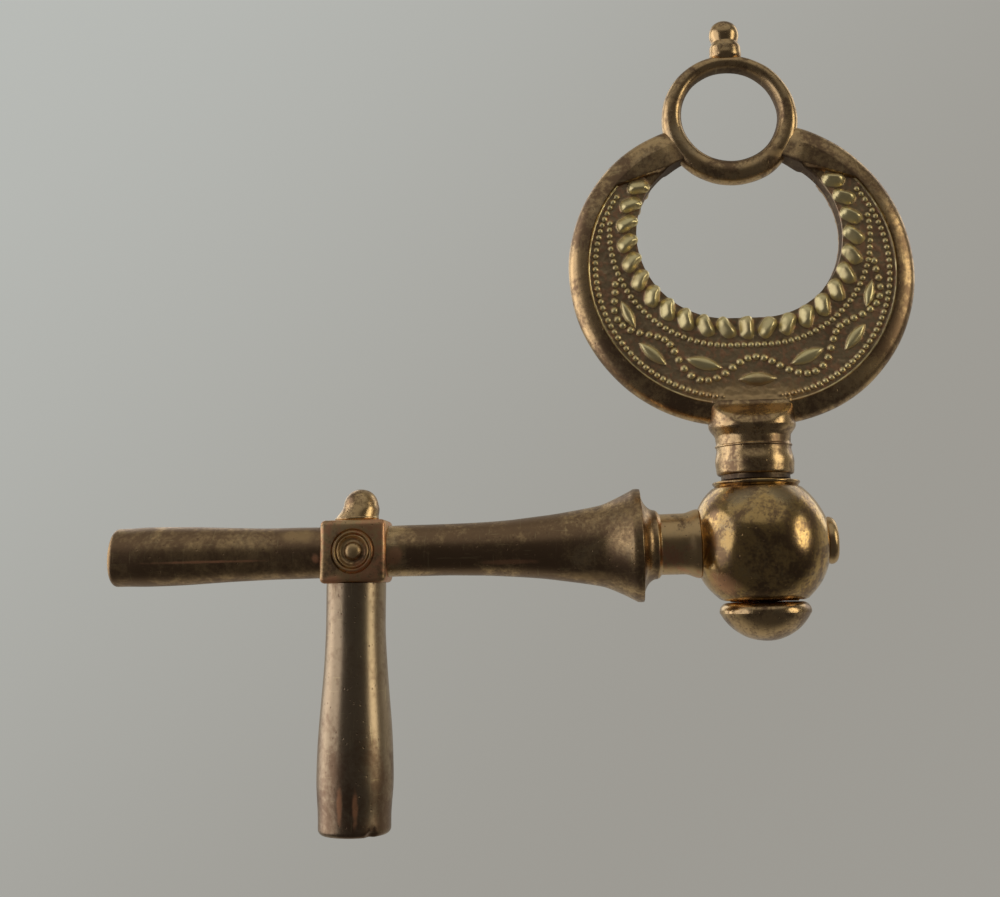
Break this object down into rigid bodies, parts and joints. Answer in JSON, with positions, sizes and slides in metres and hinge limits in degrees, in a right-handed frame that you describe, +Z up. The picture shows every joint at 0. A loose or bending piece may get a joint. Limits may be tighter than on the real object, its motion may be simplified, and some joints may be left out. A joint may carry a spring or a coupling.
{
  "type": "crank watch key",
  "caption": "Gilt crank watch key: square-socket pipes on a cross block, a trumpet-shaped arm, and a chased crescent bow with a chain ring that swivels on a ball joint.",
  "frame": {"origin": "centre of the winding pipe's mouth, where its square socket opens", "axes": "+Z up the winding pipe, parallel to the bow's swivel axis; +X along the arm from the pipe to the bow; the pictured side faces -Y"},
  "size_m": [0.0481, 0.008, 0.0474],
  "materials": {
    "gilt": "worn gilt, polished high spots and brown tarnish",
    "pale_gilt": "bright gilt with dull patches",
    "copper_gilt": "rubbed gilt, coppery at the solder joints",
    "chased_gilt": "chased gilt, bright relief on a dark matt ground",
    "steel": "dull grey steel"
  },
  "bodies": {
    "crank": {"winding_pipe": "gilt", "winding_socket": "steel", "cross_block": "copper_gilt", "block_finial": "pale_gilt", "tail_pipe": "gilt", "tail_socket": "steel", "crank_arm": "gilt", "neck_tenon": "copper_gilt", "swivel_ball": "gilt"},
    "bow": {"swivel_spindle": "steel", "spindle_cap": "pale_gilt", "bow_collar": "pale_gilt", "bow_frame": "gilt", "front_facing": "chased_gilt", "back_facing": "chased_gilt", "pendant_ring": "gilt", "ring_finial": "pale_gilt"}
  },
  "joints": [
    {"name": "bow_swivel", "type": "hinge", "parent": "crank", "child": "bow", "pos_m": [0.0234, 0, 0.015], "axis": [0, 0, 1], "continuous": true}
  ]
}
